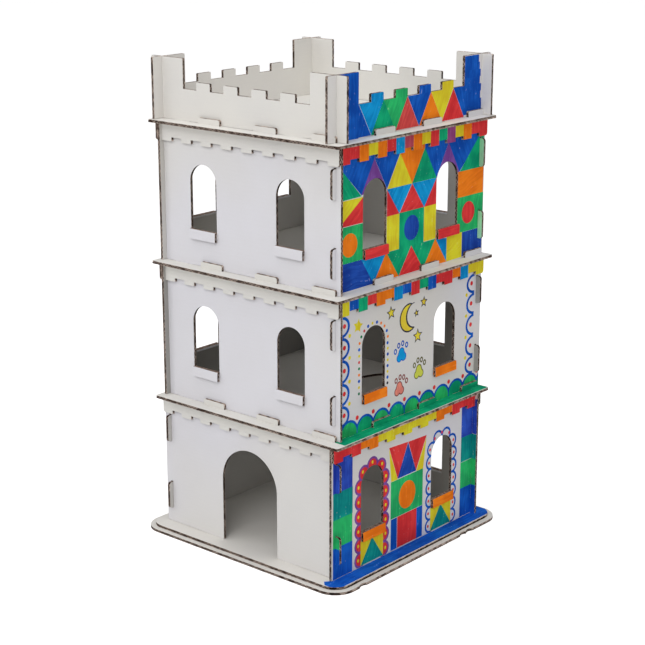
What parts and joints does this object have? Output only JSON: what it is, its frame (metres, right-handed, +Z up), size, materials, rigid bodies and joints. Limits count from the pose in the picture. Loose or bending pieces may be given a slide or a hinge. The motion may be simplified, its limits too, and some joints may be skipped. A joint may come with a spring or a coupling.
{
  "type": "cardboard cat house",
  "caption": "Tall square play house for cats, slotted together from corrugated board sheets, with arched windows, a door, toothed eaves and a battlemented roof terrace.",
  "frame": {"origin": "middle of the underside of the base, on the surface the house stands on", "axes": "+Z up; -Y out of the front with the door; +X out of the coloured right-hand side"},
  "size_m": [0.476, 0.476, 0.866],
  "materials": {
    "plain_board": "white-lined corrugated board, matt",
    "painted_board": "white-lined corrugated board coloured by hand, matt"
  },
  "bodies": {
    "root": {"base_lower_sheet": "plain_board", "base_upper_sheet": "plain_board", "wall_1_front": "plain_board", "wall_1_right": "painted_board", "wall_1_back": "plain_board", "wall_1_left": "plain_board", "frieze_1_front": "plain_board", "frieze_1_right": "painted_board", "frieze_1_back": "plain_board", "frieze_1_left": "plain_board", "deck_lower": "plain_board", "wall_2_front": "plain_board", "wall_2_right": "painted_board", "wall_2_back": "plain_board", "wall_2_left": "plain_board", "frieze_2_front": "plain_board", "frieze_2_right": "painted_board", "frieze_2_back": "plain_board", "frieze_2_left": "plain_board", "deck_middle": "plain_board", "wall_3_front": "plain_board", "wall_3_right": "painted_board", "wall_3_back": "plain_board", "wall_3_left": "plain_board", "frieze_3_front": "plain_board", "frieze_3_right": "painted_board", "frieze_3_back": "plain_board", "frieze_3_left": "plain_board", "deck_top": "plain_board", "parapet_front": "plain_board", "parapet_right": "painted_board", "parapet_back": "plain_board", "parapet_left": "plain_board"}
  },
  "joints": []
}
